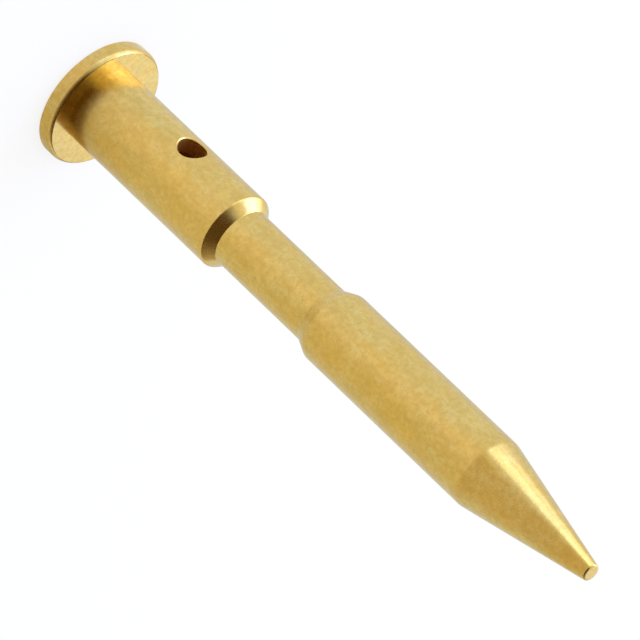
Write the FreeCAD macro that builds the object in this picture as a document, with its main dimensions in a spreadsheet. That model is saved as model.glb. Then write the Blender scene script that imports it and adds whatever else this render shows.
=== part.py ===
import FreeCAD, Part
import os
import Sketcher
from math import hypot, pi

# Solder pin contact, millimetres.
# One turned piece stands on its head: +Z runs to the tip, and the origin is the middle of the rear face.
# The sight hole of the solder cup looks towards -Y.
SIZES = {
    # Head, which stops against the insulator
    "head_diameter": 2.85,
    "head_thickness": 0.365,
    "head_edge_break": 0.06,
    "head_root_round": 0.02,
    # Barrel round the solder cup, with its sloped shoulder
    "barrel_diameter": 1.76,
    "barrel_length": 4.43,
    "shoulder_angle": 45.0,
    # Neck, turned down for the insulator to hold
    "neck_diameter": 1.326,
    "neck_length": 2.66,
    "lead_angle": 30.0,
    # Mating pin and its nose
    "pin_diameter": 1.65,
    "pin_length": 5.15,
    "nose_length": 3.195,
    "nose_blend": 0.9,
    "tip_diameter": 0.38,
    "tip_round": 0.05,
    # Solder cup, drilled from the rear face
    "cup_diameter": 1.05,
    "cup_past_sight": 0.25,
    "cup_countersink": 0.1,
    "drill_half_angle": 59.0,
    # Sight hole through one wall of the cup
    "sight_diameter": 0.62,
    "sight_distance": 2.85,
    "sight_edge_break": 0.025,
}

# Radii and heights along the axis, worked out from the sizes
HEAD_RADIUS = "Sizes.head_diameter / 2"
BARREL_RADIUS = "Sizes.barrel_diameter / 2"
NECK_RADIUS = "Sizes.neck_diameter / 2"
PIN_RADIUS = "Sizes.pin_diameter / 2"
TIP_RADIUS = "Sizes.tip_diameter / 2"
CUP_RADIUS = "Sizes.cup_diameter / 2"
SIGHT_RADIUS = "Sizes.sight_diameter / 2"
MOUTH_RADIUS = f"{CUP_RADIUS} + Sizes.cup_countersink"

REAR = "0"
HEAD_FACE = "Sizes.head_thickness"
BARREL_END = f"{HEAD_FACE} + Sizes.barrel_length"
SHOULDER_START = f"{BARREL_END} - ({BARREL_RADIUS} - {NECK_RADIUS}) / tan(Sizes.shoulder_angle * 1deg)"
NECK_END = f"{BARREL_END} + Sizes.neck_length"
LEAD_END = f"{NECK_END} + ({PIN_RADIUS} - {NECK_RADIUS}) / tan(Sizes.lead_angle * 1deg)"
PIN_END = f"{NECK_END} + Sizes.pin_length"
TIP = f"{PIN_END} + Sizes.nose_length"
CUP_FLOOR = f"Sizes.sight_distance + {SIGHT_RADIUS} + Sizes.cup_past_sight"
CUP_POINT = f"{CUP_FLOOR} + {CUP_RADIUS} / tan(Sizes.drill_half_angle * 1deg)"

TOUCH = 1e-4
LEAST_SHARE_CUT = 0.75


def add_sizes(document):
    """The driving dimensions, one named cell each."""
    sheet = document.addObject("Spreadsheet::Sheet", "Sizes")
    for row, (name, size) in enumerate(SIZES.items(), start=1):
        sheet.set(f"A{row}", name)
        sheet.set(f"B{row}", str(size))
        sheet.setAlias(f"B{row}", name)
    document.recompute()
    return sheet


def measure(sheet, expression):
    """The present value of an expression over the sizes."""
    return float(sheet.evalExpression(expression))


def add_sketch(body, name):
    """An empty sketch on the plane through the axis, X across and Z up."""
    plane = next(item for item in body.Origin.OriginFeatures if item.Role == "XZ_Plane")
    sketch = body.newObject("Sketcher::SketchObject", name)
    sketch.AttachmentSupport = [(plane, "")]
    sketch.MapMode = "FlatFace"
    return sketch


def hold(sketch, kind, place, name, expression):
    """One distance from the origin to a point, bound to the sizes."""
    geometry, end = place
    size = measure(sketch, expression)
    index = sketch.addConstraint(Sketcher.Constraint(kind, -1, 1, geometry, end, size))
    sketch.renameConstraint(index, name)
    sketch.setExpression(f"Constraints.{name}", expression)


def add_outline(body, name, corners):
    """A closed half section: each corner has a name, a radius and a height."""
    sketch = add_sketch(body, name)
    points = [
        FreeCAD.Vector(measure(sketch, radius), measure(sketch, height), 0)
        for _, radius, height in corners
    ]
    for start, end in zip(points, points[1:] + points[:1]):
        sketch.addGeometry(Part.LineSegment(start, end), False)
    for line, (corner, radius, height) in enumerate(corners):
        following = (line + 1) % len(corners)
        sketch.addConstraint(Sketcher.Constraint("Coincident", line, 2, following, 1))
        hold(sketch, "DistanceX", (line, 1), f"{corner}_radius", radius)
        hold(sketch, "DistanceY", (line, 1), f"{corner}_height", height)
    return sketch


def turn(body, kind, name, sketch):
    """A full turn of a half section about the contact's axis."""
    feature = body.newObject(kind, name)
    feature.Profile = sketch
    feature.ReferenceAxis = (sketch, ["V_Axis"])
    feature.Angle = 360
    return feature


def ring_edges(shape, radius, height):
    """Names of the edges that lie on one circle about the axis."""
    names = []
    for index, edge in enumerate(shape.Edges, start=1):
        ends = edge.BoundBox.ZMax - height, edge.BoundBox.ZMin - height
        first = edge.valueAt(edge.FirstParameter)
        level = max(abs(end) for end in ends) < TOUCH
        if level and abs(hypot(first.x, first.y) - radius) < TOUCH:
            names.append(f"Edge{index}")
    return names


def hole_edges(shape, radius, height, reach):
    """Names of the edges where a side hole opens on a cylinder about the axis."""
    names = []
    for index, edge in enumerate(shape.Edges, start=1):
        if edge.Degenerated:
            continue
        samples = edge.discretize(9)
        on_wall = all(abs(hypot(point.x, point.y) - radius) < TOUCH for point in samples)
        near = all(hypot(point.x, point.z - height) < reach + TOUCH for point in samples)
        if on_wall and near and samples[0].y < 0:
            names.append(f"Edge{index}")
    return names


def break_edges(body, kind, name, base, edges, prop, expression):
    """A round or a flat on named edges, its size bound to the sheet."""
    if not edges:
        raise RuntimeError(f"{name}: no edge found")
    feature = body.newObject(kind, name)
    feature.Base = (base, edges)
    feature.setExpression(prop, expression)
    body.Document.recompute()
    return feature


def require_cut(name, before, after, volume):
    """Stops where a cut takes away less than the hole it makes."""
    taken = before.Shape.Volume - after.Shape.Volume
    if taken < LEAST_SHARE_CUT * volume:
        raise RuntimeError(f"{name} removes {taken:.4f} mm3 of {volume:.4f}")


def add_pin_contact(document, sheet):
    """The whole contact: one piece turned from bar, drilled and plated."""
    body = document.addObject("PartDesign::Body", "pin_contact")
    body.Label = "pin_contact"
    body.Placement = FreeCAD.Placement()

    # Outside, from the middle of the rear face round to the tip
    outside = add_outline(body, "outside_section", [
        ("rear_middle", REAR, REAR),
        ("head_back", HEAD_RADIUS, REAR),
        ("head_front", HEAD_RADIUS, HEAD_FACE),
        ("barrel_root", BARREL_RADIUS, HEAD_FACE),
        ("barrel_edge", BARREL_RADIUS, SHOULDER_START),
        ("neck_root", NECK_RADIUS, BARREL_END),
        ("neck_edge", NECK_RADIUS, NECK_END),
        ("pin_root", PIN_RADIUS, LEAD_END),
        ("pin_edge", PIN_RADIUS, PIN_END),
        ("tip_edge", TIP_RADIUS, TIP),
        ("tip_middle", REAR, TIP),
    ])
    turned = turn(body, "PartDesign::Revolution", "turned_bar", outside)
    document.recompute()

    # Root of the barrel, front edge of the head, start of the nose, and edge of the flat tip
    head_radius = measure(sheet, HEAD_RADIUS)
    head_face = measure(sheet, HEAD_FACE)
    pin_radius = measure(sheet, PIN_RADIUS)
    roots = ring_edges(turned.Shape, measure(sheet, BARREL_RADIUS), head_face)
    root = break_edges(body, "PartDesign::Fillet", "head_root", turned, roots,
                       "Radius", "Sizes.head_root_round")
    fronts = ring_edges(root.Shape, head_radius, head_face)
    front = break_edges(body, "PartDesign::Chamfer", "head_edge", root, fronts,
                        "Size", "Sizes.head_edge_break")
    bends = ring_edges(front.Shape, pin_radius, measure(sheet, PIN_END))
    bend = break_edges(body, "PartDesign::Fillet", "nose_start", front, bends,
                       "Radius", "Sizes.nose_blend")
    tips = ring_edges(bend.Shape, measure(sheet, TIP_RADIUS), measure(sheet, TIP))
    tip = break_edges(body, "PartDesign::Fillet", "tip_edge", bend, tips,
                      "Radius", "Sizes.tip_round")

    # Solder cup, with its countersunk mouth and the cone that the drill leaves
    bore = add_outline(body, "cup_section", [
        ("mouth_middle", REAR, REAR),
        ("mouth_edge", MOUTH_RADIUS, REAR),
        ("cup_edge", CUP_RADIUS, "Sizes.cup_countersink"),
        ("cup_floor", CUP_RADIUS, CUP_FLOOR),
        ("cup_point", REAR, CUP_POINT),
    ])
    cup = turn(body, "PartDesign::Groove", "solder_cup", bore)
    document.recompute()
    cup_radius = measure(sheet, CUP_RADIUS)
    cup_floor = measure(sheet, CUP_FLOOR)
    require_cut("solder_cup", tip, cup, pi * cup_radius**2 * cup_floor)

    # Sight hole, from the axis out through the wall that faces -Y
    drill = add_sketch(body, "sight_section")
    sight_radius = measure(sheet, SIGHT_RADIUS)
    sight_height = measure(sheet, "Sizes.sight_distance")
    middle = FreeCAD.Vector(0, sight_height, 0)
    drill.addGeometry(Part.Circle(middle, FreeCAD.Vector(0, 0, 1), sight_radius), False)
    drill.addConstraint(Sketcher.Constraint("PointOnObject", 0, 3, -2))
    hold(drill, "DistanceY", (0, 3), "sight_height", "Sizes.sight_distance")
    rim = drill.addConstraint(Sketcher.Constraint("Radius", 0, sight_radius))
    drill.renameConstraint(rim, "sight_rim")
    drill.setExpression("Constraints.sight_rim", SIGHT_RADIUS)
    sight = body.newObject("PartDesign::Pocket", "sight_hole")
    sight.Profile = drill
    sight.Reversed = True
    sight.setExpression("Length", HEAD_RADIUS)
    document.recompute()
    barrel_radius = measure(sheet, BARREL_RADIUS)
    wall = barrel_radius - cup_radius
    require_cut("sight_hole", cup, sight, pi * sight_radius**2 * wall)

    # Broken edge round the mouth of the sight hole
    rims = hole_edges(sight.Shape, barrel_radius, sight_height, sight_radius)
    last = break_edges(body, "PartDesign::Chamfer", "sight_edge", sight, rims,
                       "Size", "Sizes.sight_edge_break")
    body.Tip = last
    document.recompute()
    return body


def check(document, bodies):
    """Every feature solved, and every piece one valid solid."""
    for item in document.Objects:
        if "Invalid" in item.State or "Error" in item.State:
            raise RuntimeError(f"{item.Name} failed: {item.State}")
    for body in bodies:
        shape = body.Shape
        if shape.isNull() or not shape.isValid() or len(shape.Solids) != 1:
            raise RuntimeError(f"{body.Label} is not one valid solid")


def main():
    document = FreeCAD.newDocument("solder_pin_contact")
    sheet = add_sizes(document)
    bodies = [add_pin_contact(document, sheet)]
    document.recompute()
    check(document, bodies)
    os.makedirs("parts", exist_ok=True)
    for body in bodies:
        shape = body.Shape
        box = shape.BoundBox
        shape.exportStep(f"parts/{body.Label}.step")
        size = f"{box.XLength:.3f} x {box.YLength:.3f} x {box.ZLength:.3f} mm"
        print(f"{body.Label}: {shape.Volume:.4f} mm3, {size}")


main()
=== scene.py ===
from math import atan2, cos, pi, radians, sin, tan

import bmesh
import bpy
from mathutils import Matrix, Vector


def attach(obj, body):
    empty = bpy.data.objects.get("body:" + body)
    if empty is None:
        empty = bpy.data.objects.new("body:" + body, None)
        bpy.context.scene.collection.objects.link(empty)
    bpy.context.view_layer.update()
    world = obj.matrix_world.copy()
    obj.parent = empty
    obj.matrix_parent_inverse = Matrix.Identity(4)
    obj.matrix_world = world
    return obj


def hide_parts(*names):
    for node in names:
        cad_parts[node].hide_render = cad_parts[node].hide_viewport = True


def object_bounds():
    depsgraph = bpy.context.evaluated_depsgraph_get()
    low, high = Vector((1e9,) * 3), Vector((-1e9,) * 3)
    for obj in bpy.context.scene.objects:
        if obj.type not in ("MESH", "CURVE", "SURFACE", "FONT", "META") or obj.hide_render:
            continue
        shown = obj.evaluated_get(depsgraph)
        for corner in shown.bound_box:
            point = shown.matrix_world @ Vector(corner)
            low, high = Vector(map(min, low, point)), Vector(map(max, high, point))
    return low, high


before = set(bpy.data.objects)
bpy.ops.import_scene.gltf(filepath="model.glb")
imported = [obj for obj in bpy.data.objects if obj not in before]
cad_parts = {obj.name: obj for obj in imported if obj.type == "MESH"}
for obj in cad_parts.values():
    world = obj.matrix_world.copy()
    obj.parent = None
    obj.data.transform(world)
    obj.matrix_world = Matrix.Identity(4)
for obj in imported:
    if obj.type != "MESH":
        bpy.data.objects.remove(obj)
cad_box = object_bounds()

# Sizes of the contact in millimetres; the head's radius and the length come from the frame
MM = 0.001
HEAD_RADIUS = (cad_box[1].x - cad_box[0].x) / 2 / MM
LENGTH = cad_box[1].z / MM
HEAD_FACE = 0.365
HEAD_EDGE = 0.06
HEAD_EDGE_ROUND = 0.18
BARREL_RADIUS = 0.88
BARREL_LENGTH = 4.43
BARREL_END = HEAD_FACE + BARREL_LENGTH
NECK_RADIUS = 0.663
NECK_LENGTH = 2.66
NECK_END = BARREL_END + NECK_LENGTH
PIN_RADIUS = 0.825
PIN_LENGTH = 5.15
PIN_END = NECK_END + PIN_LENGTH
TIP_RADIUS = 0.19
TIP_ROUND = 0.05
SHOULDER_START = BARREL_END - (BARREL_RADIUS - NECK_RADIUS)
LEAD_ANGLE = radians(30)
LEAD_LENGTH = (PIN_RADIUS - NECK_RADIUS) / tan(LEAD_ANGLE)
LEAD_EASE = 0.045
CUP_RADIUS = 0.525
CUP_MOUTH = 0.1
SIGHT_RADIUS = 0.31
SIGHT_HEIGHT = 2.85
SIGHT_EDGE = 0.025
CUP_PAST_SIGHT = 0.25
CUP_FLOOR = SIGHT_HEIGHT + SIGHT_RADIUS + CUP_PAST_SIGHT
DRILL_HALF_ANGLE = radians(59)
CUP_POINT = CUP_FLOOR + CUP_RADIUS / tan(DRILL_HALF_ANGLE)

# Small rounds that tumbling and plating leave on the turned edges
CRISP = 0.012
SOFT = 0.03
SHOULDER_ROUND = 0.07
LEAD_ROUND = 0.28
NOSE_ROUND = 0.5

# Fineness of the mesh
SEGMENTS = 256
ARC_STEPS = 5
HOLD = 0.03
SIGHT_STEPS = 96
PATCH_ROWS = 16
PATCH_MARGIN = 0.06
CREASE_ANGLE = radians(40)
CLOSE = 1e-6


def rounded(corners):
    """An open line through corners, each (across, along, radius), with its bends drawn as arcs."""
    points = [Vector(corners[0][:2])]
    for before, corner, after in zip(corners, corners[1:], corners[2:]):
        here = Vector(corner[:2])
        radius = corner[2]
        if not radius:
            points.append(here)
            continue
        back = (Vector(before[:2]) - here).normalized()
        ahead = (Vector(after[:2]) - here).normalized()
        half = back.angle(ahead) / 2
        middle = here + (back + ahead).normalized() * radius / sin(half)
        first = here + back * radius / tan(half) - middle
        last = here + ahead * radius / tan(half) - middle
        sweep = atan2(first.x * last.y - first.y * last.x, first.dot(last))
        hold = min(HOLD, (Vector(before[:2]) - here).length / 8, (Vector(after[:2]) - here).length / 8)
        points.append(middle + first + back * hold)
        for step in range(ARC_STEPS + 1):
            points.append(middle + Matrix.Rotation(sweep * step / ARC_STEPS, 2) @ first)
        points.append(middle + last + ahead * hold)
    points.append(Vector(corners[-1][:2]))
    return points


def patch_rows(reach):
    """Heights of the rows that pass the sight hole, from low to high."""
    return [SIGHT_HEIGHT + reach * (2 * row / PATCH_ROWS - 1) for row in range(PATCH_ROWS + 1)]


def on_wall(radius, sideways, height):
    """A point of a round wall about Z, sideways from its -Y line."""
    return Vector((sideways, -(radius**2 - sideways**2) ** 0.5, height)) * MM


def turn(mesh, points):
    """Rings of vertices, the line turned about Z. A point on the axis is one vertex."""
    rings = []
    for point in points:
        if point.x < CLOSE:
            rings.append([mesh.verts.new((0, 0, point.y * MM))])
            continue
        ring = []
        for segment in range(SEGMENTS):
            angle = 2 * pi * segment / SEGMENTS
            ring.append(mesh.verts.new(Vector((point.x * sin(angle), -point.x * cos(angle), point.y)) * MM))
        rings.append(ring)
    return rings


def skin(mesh, rings, patches):
    """Faces between neighbouring rings, leaving out the cells of the patches round the sight hole."""
    for index, (ring, following) in enumerate(zip(rings, rings[1:])):
        for segment in range(SEGMENTS):
            if any(index in rows and segment in columns for rows, columns in patches):
                continue
            ahead = (segment + 1) % SEGMENTS
            if len(ring) == 1:
                mesh.faces.new((ring[0], following[ahead], following[segment]))
            elif len(following) == 1:
                mesh.faces.new((ring[segment], ring[ahead], following[0]))
            else:
                mesh.faces.new((ring[segment], ring[ahead], following[ahead], following[segment]))


def sight_direction(vertex):
    """The angle of a vertex round the sight hole's axis, from 0 to a full turn."""
    return atan2(vertex.co.x, vertex.co.z - SIGHT_HEIGHT * MM) % (2 * pi)


def next_direction(loop, index):
    """The angle of the vertex that follows in a loop, and a full turn or more past the loop's end."""
    if index + 1 < len(loop):
        return sight_direction(loop[index + 1])
    return 2 * pi + index - len(loop) + 1


def zip_loops(mesh, inner, outer):
    """Triangles between two closed loops round the sight hole."""
    inner = sorted(inner, key=sight_direction)
    outer = sorted(outer, key=sight_direction)
    i = o = 0
    while i < len(inner) or o < len(outer):
        next_inner = next_direction(inner, i)
        next_outer = next_direction(outer, o)
        here, there = inner[i % len(inner)], outer[o % len(outer)]
        if o == len(outer) or (i < len(inner) and next_inner <= next_outer):
            mesh.faces.new((here, inner[(i + 1) % len(inner)], there))
            i += 1
        else:
            mesh.faces.new((here, outer[(o + 1) % len(outer)], there))
            o += 1


def contact_line():
    """The half section, from the drill's point in the cup, round the head and on to the tip."""
    cup = [(CUP_RADIUS, height, 0) for height in reversed(patch_rows(SIGHT_RADIUS + PATCH_MARGIN))]
    barrel = [(BARREL_RADIUS, height, 0) for height in patch_rows(SIGHT_RADIUS + SIGHT_EDGE + PATCH_MARGIN)]
    return rounded([
        (0, CUP_POINT, 0),
        (CUP_RADIUS, CUP_FLOOR, SOFT),
        *cup,
        (CUP_RADIUS, CUP_MOUTH, CRISP),
        (CUP_RADIUS + CUP_MOUTH, 0, CRISP),
        (HEAD_RADIUS, 0, SOFT),
        (HEAD_RADIUS, HEAD_FACE - HEAD_EDGE, HEAD_EDGE_ROUND),
        (HEAD_RADIUS - HEAD_EDGE, HEAD_FACE, CRISP / 2),
        (BARREL_RADIUS, HEAD_FACE, 0),
        *barrel,
        (BARREL_RADIUS, SHOULDER_START, SHOULDER_ROUND),
        (NECK_RADIUS, BARREL_END, SOFT),
        (NECK_RADIUS, NECK_END - LEAD_EASE, LEAD_ROUND),
        (PIN_RADIUS, NECK_END + LEAD_LENGTH + LEAD_EASE, LEAD_ROUND),
        (PIN_RADIUS, PIN_END, NOSE_ROUND),
        (TIP_RADIUS, LENGTH, TIP_ROUND),
        (0, LENGTH, 0),
    ])


def patch_of(points, radius, reach):
    """Ring numbers and column numbers of the cells left out where the sight hole passes a wall."""
    rows = patch_rows(reach)
    ends = [
        next(i for i, p in enumerate(points) if abs(p.x - radius) < CLOSE and abs(p.y - height) < CLOSE)
        for height in (rows[0], rows[-1])
    ]
    half = int(SEGMENTS * atan2(reach, (radius**2 - reach**2) ** 0.5) / (2 * pi)) + 1
    columns = [column % SEGMENTS for column in range(-half, half)]
    return range(min(ends), max(ends)), columns


def patch_border(rings, patch):
    """The vertices round a patch."""
    rows, columns = patch
    first, last = rows[0], rows[-1] + 1
    left, right = columns[0], (columns[-1] + 1) % SEGMENTS
    border = [rings[row][column] for row in (first, last) for column in [*columns, right]]
    border += [rings[row][column] for row in range(first + 1, last) for column in (left, right)]
    return border


def sight_loop(mesh, radius, out, depth):
    """A loop round the sight hole, out from its wall and down from a round wall's surface."""
    loop = []
    reach = SIGHT_RADIUS + out
    for step in range(SIGHT_STEPS):
        angle = 2 * pi * step / SIGHT_STEPS
        point = on_wall(radius, reach * sin(angle), SIGHT_HEIGHT + reach * cos(angle))
        point.y += depth * MM
        loop.append(mesh.verts.new(point))
    return loop


def add_sight_hole(mesh, rings, patches):
    """The sight hole: a broken edge on the barrel, its wall, and its edge in the cup."""
    section = rounded([
        (SIGHT_EDGE + CRISP, 0, 0),
        (SIGHT_EDGE, 0, CRISP / 2),
        (0, SIGHT_EDGE, CRISP / 2),
        (0, SIGHT_EDGE + 2 * CRISP, 0),
    ])
    loops = [sight_loop(mesh, BARREL_RADIUS, out, depth) for out, depth in section]
    loops.append(sight_loop(mesh, CUP_RADIUS, 0, 0))
    for loop, following in zip(loops, loops[1:]):
        for step in range(SIGHT_STEPS):
            ahead = (step + 1) % SIGHT_STEPS
            mesh.faces.new((loop[step], loop[ahead], following[ahead], following[step]))
    zip_loops(mesh, loops[0], patch_border(rings, patches[1]))
    zip_loops(mesh, loops[-1], patch_border(rings, patches[0]))


def add_contact():
    """The whole contact as one closed mesh."""
    points = contact_line()
    mesh = bmesh.new()
    rings = turn(mesh, points)
    patches = [
        patch_of(points, CUP_RADIUS, SIGHT_RADIUS + PATCH_MARGIN),
        patch_of(points, BARREL_RADIUS, SIGHT_RADIUS + SIGHT_EDGE + PATCH_MARGIN),
    ]
    skin(mesh, rings, patches)
    add_sight_hole(mesh, rings, patches)
    unused = [vertex for vertex in mesh.verts if not vertex.link_faces]
    bmesh.ops.delete(mesh, geom=unused, context="VERTS")
    bmesh.ops.recalc_face_normals(mesh, faces=mesh.faces)
    for face in mesh.faces:
        face.smooth = True
    for edge in mesh.edges:
        edge.smooth = edge.calc_face_angle(0) < CREASE_ANGLE
    data = bpy.data.meshes.new("gold_contact")
    mesh.to_mesh(data)
    mesh.free()
    piece = bpy.data.objects.new("gold_contact", data)
    bpy.context.scene.collection.objects.link(piece)
    normals = piece.modifiers.new("weighted_normals", "WEIGHTED_NORMAL")
    normals.keep_sharp = True
    normals.weight = 100
    return piece


class Nodes:
    """A material's or world's node tree, filled one node at a time."""

    def __init__(self, owner):
        owner.use_nodes = True
        self.tree = owner.node_tree
        self.tree.nodes.clear()

    def add(self, kind, inputs=None, **settings):
        node = self.tree.nodes.new(kind)
        for name, value in settings.items():
            setattr(node, name, value)
        for name, value in (inputs or {}).items():
            self.fill(node.inputs[name], value)
        return node

    def fill(self, socket, value):
        if isinstance(value, bpy.types.NodeSocket):
            self.tree.links.new(value, socket)
        else:
            socket.default_value = value

    def math(self, operation, first, second=0.0):
        return self.add("ShaderNodeMath", {0: first, 1: second}, operation=operation).outputs[0]

    def vector(self, operation, first, second):
        return self.add("ShaderNodeVectorMath", {0: first, 1: second}, operation=operation)

    def mix(self, factor, first, second, blend="MIX"):
        node = self.add("ShaderNodeMix", data_type="RGBA", blend_type=blend)
        for socket, value in zip((node.inputs[0], node.inputs[6], node.inputs[7]), (factor, first, second)):
            self.fill(socket, value)
        return node.outputs[2]

    def noise(self, vector, scale, detail=2.0, roughness=0.5):
        node = self.add(
            "ShaderNodeTexNoise",
            {"Vector": vector, "Scale": scale, "Detail": detail, "Roughness": roughness},
        )
        return node.outputs["Fac"]

    def ramp(self, value, stops):
        node = self.add("ShaderNodeValToRGB", {"Fac": value})
        points = node.color_ramp.elements
        while len(points) < len(stops):
            points.new(1.0)
        for point, (place, colour) in zip(points, stops):
            point.position = place
            point.color = colour
        return node.outputs["Color"]

    def spread(self, value, low, high, to_low, to_high):
        node = self.add(
            "ShaderNodeMapRange",
            {"Value": value, "From Min": low, "From Max": high, "To Min": to_low, "To Max": to_high},
        )
        return node.outputs["Result"]


def turning_rings(nodes, x, y, along):
    """Noise that is slow round the axis and quick along the line that was turned."""
    place = nodes.add("ShaderNodeCombineXYZ", {
        "X": nodes.math("MULTIPLY", x, RING_ACROSS),
        "Y": nodes.math("MULTIPLY", y, RING_ACROSS),
        "Z": nodes.math("MULTIPLY", along, RING_ALONG),
    }).outputs[0]
    return nodes.noise(place, scale=2.6, detail=4.0, roughness=0.65)


def gold_colour(nodes, place, mottle, blotch):
    """Warm gold, paler in broad patches and deeper in blotches and specks."""
    speck = nodes.noise(place, scale=9.0, detail=3.0, roughness=0.7)
    colour = nodes.mix(nodes.spread(mottle, 0.35, 0.65, 0.0, 1.0), WARM_GOLD, PALE_GOLD)
    colour = nodes.mix(nodes.spread(blotch, 0.42, 0.72, 0.0, 0.6), colour, DEEP_GOLD)
    return nodes.mix(nodes.spread(speck, 0.38, 0.66, 0.0, 0.75), colour, DEEP_GOLD)


def drilled_share(nodes, z, from_axis):
    """1 in the drilled holes and 0 outside, fading at the cup's mouth, past its point and in the wall."""
    mouth = nodes.spread(z, CUP_MOUTH, 2 * CUP_MOUTH, 0.0, 1.0)
    point = nodes.spread(z, *DRILLED_PAST, 1.0, 0.0)
    wall = nodes.spread(from_axis, *DRILLED_WALL, 1.0, 0.0)
    return nodes.math("MULTIPLY", nodes.math("MULTIPLY", mouth, point), wall)


def gold_roughness(nodes, z, grain, mottle, drilled):
    """Satin that follows the grain and the mottling, the place along the axis and the drilled holes."""
    grained = nodes.spread(grain, 0.3, 0.7, SATIN_LOW, SATIN_HIGH)
    patchy = nodes.spread(mottle, 0.3, 0.7, -SATIN_PATCHY, SATIN_PATCHY)
    along = nodes.ramp(nodes.spread(z, 0.0, LENGTH, 0.0, 1.0), POLISH_ALONG)
    roughness = nodes.math("ADD", nodes.math("ADD", grained, patchy), along)
    roughness = nodes.math("SUBTRACT", roughness, POLISH_LEVEL)
    return nodes.math("ADD", roughness, nodes.math("MULTIPLY", drilled, DRILLED_ROUGHER))


def gold_plating():
    """Satin gold over turned brass: rings from the tool, mottled plating and fine grain."""
    material = bpy.data.materials.new("gold_plating")
    nodes = Nodes(material)
    place = nodes.add("ShaderNodeTexCoord").outputs["Object"]
    place = nodes.add("ShaderNodeVectorMath", {0: place, 3: 1 / MM}, operation="SCALE").outputs[0]
    x, y, z = nodes.add("ShaderNodeSeparateXYZ", {"Vector": place}).outputs
    squares = nodes.math("ADD", nodes.math("MULTIPLY", x, x), nodes.math("MULTIPLY", y, y))
    from_axis = nodes.math("SQRT", squares)
    rings = turning_rings(nodes, x, y, nodes.math("SUBTRACT", z, from_axis))
    drawn_out = nodes.vector("MULTIPLY", place, MOTTLE_STRETCH).outputs[0]
    mottle = nodes.noise(drawn_out, scale=1.9, detail=3.0, roughness=0.6)
    blotch = nodes.noise(drawn_out, scale=5.5, detail=3.0, roughness=0.6)
    grain = nodes.noise(place, scale=34.0, detail=2.0, roughness=0.6)
    drilled = drilled_share(nodes, z, from_axis)
    height = nodes.math("ADD", nodes.math("MULTIPLY", rings, 0.6), nodes.math("MULTIPLY", grain, 0.4))
    bump = nodes.add("ShaderNodeBump", {"Strength": 0.12, "Distance": BUMP_DEPTH * MM, "Height": height})
    shader = nodes.add("ShaderNodeBsdfPrincipled", {
        "Base Color": nodes.mix(drilled, gold_colour(nodes, place, mottle, blotch), DRILLED_COLOUR),
        "Metallic": 1.0,
        "Roughness": gold_roughness(nodes, z, grain, mottle, drilled),
        "Normal": bump.outputs[0],
    })
    nodes.add("ShaderNodeOutputMaterial", {"Surface": shader.outputs[0]})
    return material


def shown_rays(nodes):
    """1 for the rays that show a background by way of metal or glass, and for these and the camera's own."""
    path = nodes.add("ShaderNodeLightPath")
    mirrored = nodes.math("MAXIMUM", path.outputs["Is Glossy Ray"], path.outputs["Is Transmission Ray"])
    return mirrored, nodes.math("MAXIMUM", mirrored, path.outputs["Is Camera Ray"])


def add_stage_piece(name, corners, material):
    """A flat or bent sheet through rows of corners, in millimetres."""
    data = bpy.data.meshes.new(name)
    verts = [Vector(corner) * MM for row in corners for corner in row]
    width = len(corners[0])
    faces = []
    for row in range(len(corners) - 1):
        for column in range(width - 1):
            near = row * width + column
            faces.append((near, near + 1, near + width + 1, near + width))
    data.from_pydata(verts, [], faces)
    piece = bpy.data.objects.new(name, data)
    bpy.context.scene.collection.objects.link(piece)
    piece.data.materials.append(material)
    return piece


def turned_from_camera(nodes, way):
    """The angle of a direction round the axis, from the camera's side towards the picture's upper right."""
    ahead = nodes.vector("DOT_PRODUCT", way, bearing(0)).outputs["Value"]
    aside = nodes.vector("DOT_PRODUCT", way, bearing(pi / 2)).outputs["Value"]
    return nodes.math("ARCTAN2", aside, ahead)


def tints_round(nodes, turned, tints):
    """A colour that changes round the axis: each tint stands at its angle in degrees."""
    stops = [((degrees + 180) / 360, (*tint, 1.0)) for degrees, tint in tints]
    return nodes.ramp(nodes.spread(turned, -pi, pi, 0.0, 1.0), stops)


def painted_floor_reflection(nodes):
    """Painted reflection of the floor, which only the metal sees: cool on the softbox's side, warm on the
    camera's, dimmer far off, and darkened near the head by a painted shadow.
    """
    place = nodes.add("ShaderNodeTexCoord").outputs["Object"]
    distance = nodes.add("ShaderNodeVectorMath", {0: place}, operation="LENGTH").outputs["Value"]
    far = nodes.spread(distance, FLOOR_NEAR * MM, FLOOR_FAR * MM, 0.0, 1.0)
    turned = turned_from_camera(nodes, place)
    tint = nodes.mix(far, tints_round(nodes, turned, PAINTED_FLOOR_NEAR_TINTS), tints_round(nodes, turned, PAINTED_FLOOR_FAR_TINTS))
    # Painted shadow near the head, which darkens the painted reflection
    shadow = nodes.ramp(nodes.spread(distance, 0.0, SHADOW_REACH * MM, 0.0, 1.0), SHADOW_FADE)
    shade = nodes.mix(1.0, shadow, tints_round(nodes, turned, SHADOW_ROUND), blend="MULTIPLY")
    return nodes.mix(1.0, tint, nodes.mix(shade, WHITE, SHADOW_TINT), blend="MULTIPLY")


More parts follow.
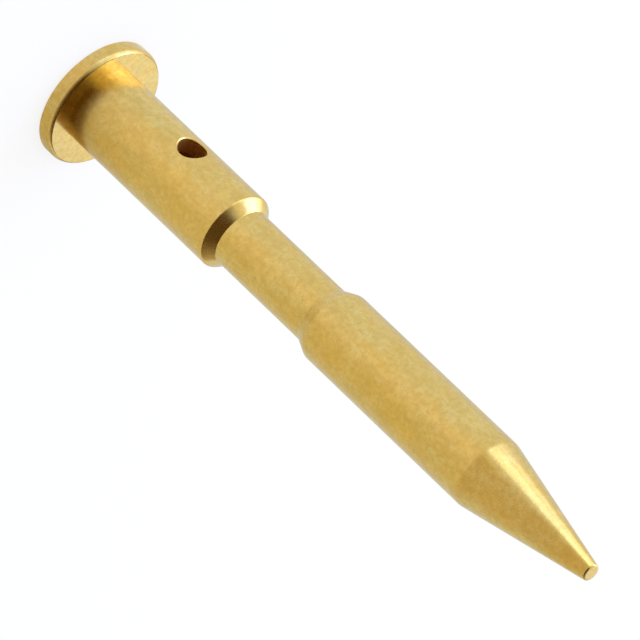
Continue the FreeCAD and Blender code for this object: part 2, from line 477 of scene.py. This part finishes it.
def add_floor():
    """A white floor just under the head, which keeps the contact's shadow where the camera sees it; the
    metal sees a painted reflection of it with a painted shadow instead.
    """
    material = bpy.data.materials.new("floor_white")
    nodes = Nodes(material)
    mirrored, shown = shown_rays(nodes)
    paint = nodes.add("ShaderNodeBsdfDiffuse", {"Color": (0.9, 0.9, 0.9, 1.0)}).outputs[0]
    # The metal sees a painted reflection with a painted shadow; the camera sees even white glow over a
    # quarter of diffuse paint, which keeps the real shadow
    colour = nodes.mix(mirrored, WHITE, painted_floor_reflection(nodes))
    glow = nodes.add("ShaderNodeEmission", {"Color": colour, "Strength": 1.0}).outputs[0]
    share = nodes.math("MAXIMUM", mirrored, nodes.math("MULTIPLY", shown, FLOOR_GLOW))
    shader = nodes.add("ShaderNodeMixShader", {0: share, 1: paint, 2: glow}).outputs[0]
    nodes.add("ShaderNodeOutputMaterial", {"Surface": shader})
    reach = FLOOR_REACH
    corners = [[(-reach, -reach, FLOOR_LEVEL), (reach, -reach, FLOOR_LEVEL)],
               [(-reach, reach, FLOOR_LEVEL), (reach, reach, FLOOR_LEVEL)]]
    add_stage_piece("floor", corners, material)


def add_world():
    """White where it is seen, and a plain soft light on everything else."""
    world = bpy.data.worlds.new("studio")
    bpy.context.scene.world = world
    nodes = Nodes(world)
    mirrored, shown = shown_rays(nodes)
    strength = nodes.spread(shown, 0.0, 1.0, WORLD_LIGHT, 1.0)
    shader = nodes.add("ShaderNodeBackground", {"Color": WHITE, "Strength": strength}).outputs[0]
    nodes.add("ShaderNodeOutputWorld", {"Surface": shader})


def bearing(turn_from_camera):
    """A level direction, turned from the camera's side towards the picture's upper right."""
    angle = CAMERA_AZIMUTH - turn_from_camera
    return Vector((sin(angle), -cos(angle), 0))


def add_softbox(name, facing, distance, middle, size, lean, radiance):
    """An area light on an upright plane that faces the contact.

    Its middle is across and up on that plane, and all lengths are in millimetres. Its radiance is red, green
    and blue.
    """
    lamp = bpy.data.lights.new(name, "AREA")
    lamp.shape = "RECTANGLE"
    lamp.size, lamp.size_y = size[0] * MM, size[1] * MM
    lamp.color = [channel / max(radiance) for channel in radiance]
    lamp.energy = max(radiance) * pi * lamp.size * lamp.size_y
    piece = bpy.data.objects.new(name, lamp)
    bpy.context.scene.collection.objects.link(piece)
    out, across, upward = bearing(facing), bearing(facing + pi / 2), Vector((0, 0, 1))
    side = across * cos(lean) - upward * sin(lean)
    along = across * sin(lean) + upward * cos(lean)
    place = Matrix((-side, along, out)).transposed().to_4x4()
    place.translation = (out * distance + across * middle[0] + upward * middle[1]) * MM
    piece.matrix_world = place
    piece.visible_camera = False


def add_painted_reflection_sheet():
    """A painted reflection of the dim part of the room over the camera's side: a glowing sheet, dim there
    and bright beyond, which shows only in the metal.
    """
    material = bpy.data.materials.new("painted_reflection_glow")
    nodes = Nodes(material)
    place = nodes.add("ShaderNodeTexCoord").outputs["Object"]
    way = nodes.add("ShaderNodeVectorMath", {0: place}, operation="NORMALIZE").outputs[0]
    height = nodes.add("ShaderNodeSeparateXYZ", {"Vector": way}).outputs["Z"]
    slant = nodes.spread(height, SHEET_BEND_LOW, SHEET_BEND_HIGH, 0.0, -SHEET_SLANT)
    colour = tints_round(nodes, nodes.math("ADD", turned_from_camera(nodes, way), slant), PAINTED_REFLECTION_TINTS)
    low_down = nodes.spread(height, SHEET_BEND_LOW, SHEET_LIFT_END, 1.0, 0.0)
    colour = nodes.mix(low_down, colour, PAINTED_REFLECTION_LIFT, blend="ADD")
    # The sheet glows as a painted reflection; it is no lamp
    glow = nodes.add("ShaderNodeEmission", {"Color": colour, "Strength": 1.0}).outputs[0]
    nodes.add("ShaderNodeOutputMaterial", {"Surface": glow})
    rows = []
    for row in range(SHEET_STEPS + 1):
        elevation = SHEET_LOW + (SHEET_HIGH - SHEET_LOW) * row / SHEET_STEPS
        bend = (sin(elevation) - SHEET_BEND_LOW) / (SHEET_BEND_HIGH - SHEET_BEND_LOW)
        edge = SHEET_LAST + SHEET_SLANT * min(max(bend, 0), 1)
        turns = [SHEET_FIRST + (edge - SHEET_FIRST) * step / SHEET_STEPS for step in range(SHEET_STEPS + 1)]
        up = Vector((0, 0, sin(elevation)))
        rows.append([(bearing(turned) * cos(elevation) + up) * SHEET_DISTANCE for turned in turns])
    piece = add_stage_piece("painted_reflection_card", rows, material)
    piece.visible_camera = False
    piece.visible_diffuse = False
    piece.visible_shadow = False


def add_camera():
    """The photograph's view: the contact leans out of the picture and points to its lower right."""
    towards = Vector((sin(CAMERA_AZIMUTH) * cos(CAMERA_ELEVATION),
                      -cos(CAMERA_AZIMUTH) * cos(CAMERA_ELEVATION),
                      sin(CAMERA_ELEVATION)))
    up_axis = Vector((0, 0, 1))
    along = (up_axis - towards * up_axis.dot(towards)).normalized()
    across = towards.cross(along)
    right = along * cos(AXIS_SLOPE) + across * sin(AXIS_SLOPE)
    up = across * cos(AXIS_SLOPE) - along * sin(AXIS_SLOPE)
    data = bpy.data.cameras.new("camera")
    data.sensor_width = SENSOR
    data.lens = SENSOR / 2 / (FRAME_PIXELS / 2 / CAMERA_PIXELS)
    data.clip_start = 0.01
    data.clip_end = 10.0
    camera = bpy.data.objects.new("camera", data)
    bpy.context.scene.collection.objects.link(camera)
    aim = up_axis * AIM_HEIGHT * MM + across * AIM_ACROSS * MM
    place = Matrix((right, up, towards)).transposed().to_4x4()
    place.translation = aim + towards * CAMERA_PIXELS / PIXELS_PER_MM * MM
    camera.matrix_world = place
    bpy.context.scene.camera = camera


# The photograph's view
FRAME_PIXELS = 640
PIXELS_PER_MM = 50.17
CAMERA_PIXELS = 11111
SENSOR = 36.0
CAMERA_AZIMUTH = radians(47.8)
CAMERA_ELEVATION = radians(30.0)
AXIS_SLOPE = radians(43.73)
AIM_HEIGHT = 7.41
AIM_ACROSS = -0.09

# The finish: POLISH_LEVEL leaves the roughness as it is, less makes it smoother and more makes it rougher
WARM_GOLD = (0.82, 0.56, 0.145, 1.0)
PALE_GOLD = (0.80, 0.62, 0.22, 1.0)
DEEP_GOLD = (0.66, 0.445, 0.11, 1.0)
DRILLED_COLOUR = (0.66, 0.34, 0.07, 1.0)
DRILLED_ROUGHER = 0.35
DRILLED_PAST = (3.8, 4.0)
DRILLED_WALL = (BARREL_RADIUS - 0.05, BARREL_RADIUS - 0.01)
SATIN_LOW = 0.22
SATIN_HIGH = 0.28
SATIN_PATCHY = 0.03
RING_ACROSS = 0.25
RING_ALONG = 9.0
MOTTLE_STRETCH = (1.0, 1.0, 0.45)
BUMP_DEPTH = 0.004
POLISH_LEVEL = 0.5
POLISH_ALONG = tuple((height / LENGTH, (value, value, value, 1.0)) for height, value in (
    (0.0, 0.5),
    (HEAD_FACE - 0.09, 0.5),
    (HEAD_FACE - 0.06, 0.66),
    (HEAD_FACE - 0.01, 0.66),
    (HEAD_FACE - 0.003, 0.37),
    (HEAD_FACE + 0.01, 0.37),
    (HEAD_FACE + 0.1, 0.55),
    (0.8, 0.55),
    (1.2, 0.5),
    (NECK_END - 0.3, 0.5),
    (NECK_END, 0.54),
    (NECK_END + 0.3, 0.54),
    (NECK_END + 0.6, 0.5),
))

# The stage
WHITE = (1.0, 1.0, 1.0, 1.0)
FLOOR_LEVEL = -0.01
FLOOR_REACH = 800.0
FLOOR_GLOW = 0.75
# Tints of the painted floor reflection, which only the metal sees, set by bearing near the contact and far
# off
BACK_TINT = (0.85, 0.90, 1.00)
DULL_TINT = (0.75, 0.80, 0.85)
WARM_TINT = (0.80, 0.75, 0.60)
PLAIN_TINT = (1.00, 0.95, 0.95)
COOL_TINT = (0.90, 0.95, 1.10)
PAINTED_FLOOR_NEAR_TINTS = (
    (-180, BACK_TINT),
    (-140, DULL_TINT),
    (-80, WARM_TINT),
    (-45, WARM_TINT),
    (10, PLAIN_TINT),
    (60, COOL_TINT),
    (110, COOL_TINT),
    (145, DULL_TINT),
    (180, BACK_TINT),
)
FAR_WARM_TINT = (0.70, 0.60, 0.45)
PAINTED_FLOOR_FAR_TINTS = (
    (-180, DULL_TINT),
    (-140, DULL_TINT),
    (-70, FAR_WARM_TINT),
    (20, FAR_WARM_TINT),
    (40, COOL_TINT),
    (140, COOL_TINT),
    (180, DULL_TINT),
)
# A painted shadow near the head, which shows only in the floor's painted reflection: its fade with distance,
# its strength by bearing and its tint
SHADOW_REACH = 6.0
SHADOW_FADE = (
    (0.0, WHITE),
    (0.38, WHITE),
    (0.55, (0.5, 0.5, 0.5, 1.0)),
    (0.7, (0.2, 0.2, 0.2, 1.0)),
    (1.0, (0.0, 0.0, 0.0, 1.0)),
)
SHADOW_ROUND = (
    (-180, (0.4, 0.4, 0.4)),
    (-160, (0.0, 0.0, 0.0)),
    (-120, (1.0, 1.0, 1.0)),
    (-90, (1.0, 1.0, 1.0)),
    (0, (0.7, 0.7, 0.7)),
    (90, (0.0, 0.0, 0.0)),
    (120, (0.0, 0.0, 0.0)),
    (180, (0.4, 0.4, 0.4)),
)
SHADOW_TINT = (0.80, 0.78, 0.76, 1.0)
FLOOR_NEAR = 26.0
FLOOR_FAR = 55.0
WORLD_LIGHT = 1.0
# The painted reflection sheet, which only the metal sees: its place, shape, bend and tints
SHEET_DISTANCE = 150.0
SHEET_FIRST = radians(-179)
SHEET_LAST = radians(45)
SHEET_LOW = radians(10)
SHEET_HIGH = radians(90)
SHEET_SLANT = radians(20)
PAINTED_REFLECTION_DIM = (0.10, 0.06, 0.025)
PAINTED_REFLECTION_OPEN = (0.85, 0.90, 1.00)
PAINTED_REFLECTION_TINTS = (
    (-180, (0.70, 0.70, 0.80)),
    (-130, (0.40, 0.35, 0.30)),
    (-95, PAINTED_REFLECTION_DIM),
    (10, PAINTED_REFLECTION_DIM),
    (45, PAINTED_REFLECTION_OPEN),
    (180, PAINTED_REFLECTION_OPEN),
)
SHEET_BEND_LOW = 0.5
SHEET_BEND_HIGH = 0.85
PAINTED_REFLECTION_LIFT = (0.065, 0.042, 0.014, 1.0)
SHEET_LIFT_END = 0.7
SHEET_STEPS = 16
KEY_SIDE = radians(88)
KEY_LEAN = radians(-20)
BACK_SIDE = radians(172)

contact = add_contact()
contact.data.materials.append(gold_plating())
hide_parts("pin_contact")
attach(contact, "root")

add_floor()
add_world()
add_softbox("key_softbox", KEY_SIDE, 56.0, (54.0, 42.0), (142.0, 46.0), KEY_LEAN, (0.92, 1.1, 1.85))
add_softbox("key_core", KEY_SIDE, 55.0, (22.0, 40.0), (44.0, 34.0), KEY_LEAN, (0.4, 0.7, 3.0))
add_softbox("low_strip", KEY_SIDE, 57.0, (-32.0, 4.0), (42.0, 20.0), 0.0, (1.15, 1.45, 2.6))
add_softbox("back_softbox", BACK_SIDE, 60.0, (0.0, 54.0), (70.0, 36.0), 0.0, (0.2, 0.3, 0.65))
add_painted_reflection_sheet()
add_camera()

scene = bpy.context.scene
scene.view_settings.view_transform = "Standard"
